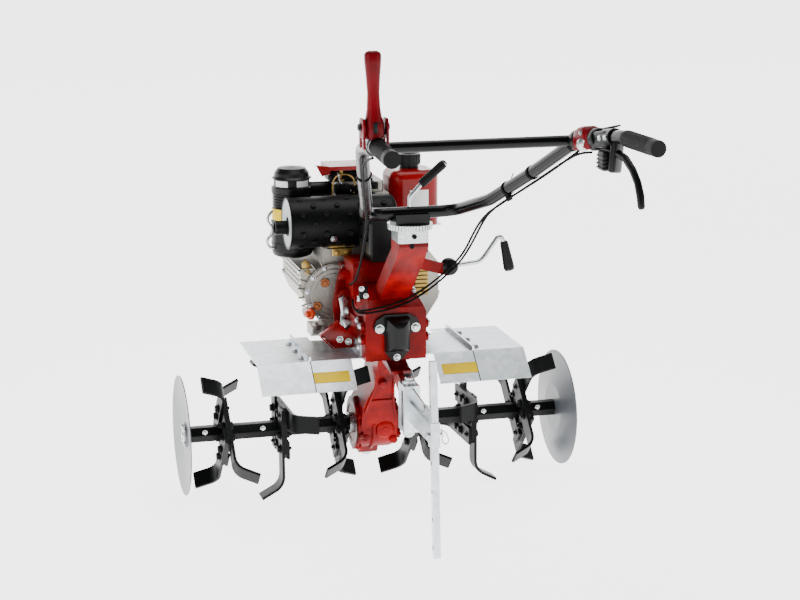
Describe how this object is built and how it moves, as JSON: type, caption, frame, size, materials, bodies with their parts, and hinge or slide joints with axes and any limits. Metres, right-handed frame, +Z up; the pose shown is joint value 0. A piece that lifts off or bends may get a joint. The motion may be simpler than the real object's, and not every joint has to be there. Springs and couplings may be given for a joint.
{
  "type": "walk-behind garden tiller",
  "caption": "Walk-behind diesel garden tiller with a finned engine, gearbox, fenders, a bent-blade tine rotor between side discs, a swivelling handlebar and a drag bar.",
  "frame": {"origin": "on the floor, under the middle of the machine's overall box", "axes": "+X to the machine's right, +Y forwards (the engine end), +Z up"},
  "size_m": [1.126, 1.8769, 1.374],
  "materials": {
    "red_paint": "gloss red enamel on castings and sheet steel",
    "red_plastic": "moulded red plastic",
    "black_paint": "satin black enamel on steel",
    "black_plastic": "moulded black plastic",
    "black_rubber": "soft black rubber",
    "galvanised": "zinc-plated sheet steel",
    "zinc_plate": "bright zinc-plated steel",
    "cast_aluminium": "as-cast aluminium",
    "cable_jacket": "black cable jacket"
  },
  "bodies": {
    "chassis": {"gearbox_case": "red_paint", "clutch_housing": "red_paint", "final_drive_case": "red_paint", "pto_cap": "black_plastic", "handlebar_column": "red_paint", "clamp_block": "zinc_plate", "gear_lever_bracket": "red_paint", "gear_lever": "zinc_plate", "battery_box": "black_plastic", "crankcase": "cast_aluminium", "cylinder": "cast_aluminium", "cylinder_head": "cast_aluminium", "head_guard": "red_paint", "fan_housing": "black_paint", "recoil_starter": "red_paint", "engine_rails": "black_paint", "front_bumper": "black_paint", "muffler": "black_paint", "air_filter": "black_plastic", "fuel_tank": "red_paint", "fuel_cap": "black_plastic", "tank_bracket": "zinc_plate", "left_fender": "galvanised", "right_fender": "galvanised", "left_fender_extension": "galvanised", "right_fender_extension": "galvanised", "hitch_bracket": "red_paint"},
    "rotor": {"axle_shaft": "zinc_plate", "left_tine_reel": "black_paint", "right_tine_reel": "black_paint", "left_disc": "galvanised", "right_disc": "galvanised"},
    "handlebar": {"clamp_disc": "zinc_plate", "handlebar_saddle": "black_paint", "handlebar_tube": "black_paint", "handlebar_crossbar": "black_paint", "left_grip": "black_rubber", "right_grip": "black_rubber", "clutch_lever": "red_plastic", "throttle_block": "red_plastic", "right_lever": "black_paint", "right_lever_clamp": "black_plastic", "left_lever_clamp": "black_plastic", "lock_lever": "zinc_plate", "throttle_cable": "cable_jacket", "clutch_cable": "cable_jacket"},
    "drag_linkage": {"hitch_arm": "galvanised", "hitch_pin": "zinc_plate", "drag_bar": "galvanised"}
  },
  "joints": [
    {"name": "rotor_spin", "type": "hinge", "parent": "chassis", "child": "rotor", "pos_m": [0, 0.39875, 0.1884], "axis": [1, 0, 0], "continuous": true},
    {"name": "handlebar_swivel", "type": "hinge", "parent": "chassis", "child": "handlebar", "pos_m": [0, 0.01075, 0.8294], "axis": [0, 0, 1], "range_deg": [-30, 30], "deforming": ["throttle_cable", "clutch_cable"]},
    {"name": "drag_bar_swing", "type": "hinge", "parent": "chassis", "child": "drag_linkage", "pos_m": [0, 0.01875, 0.3384], "axis": [0, 0, 1], "range_deg": [-20, 20]}
  ]
}
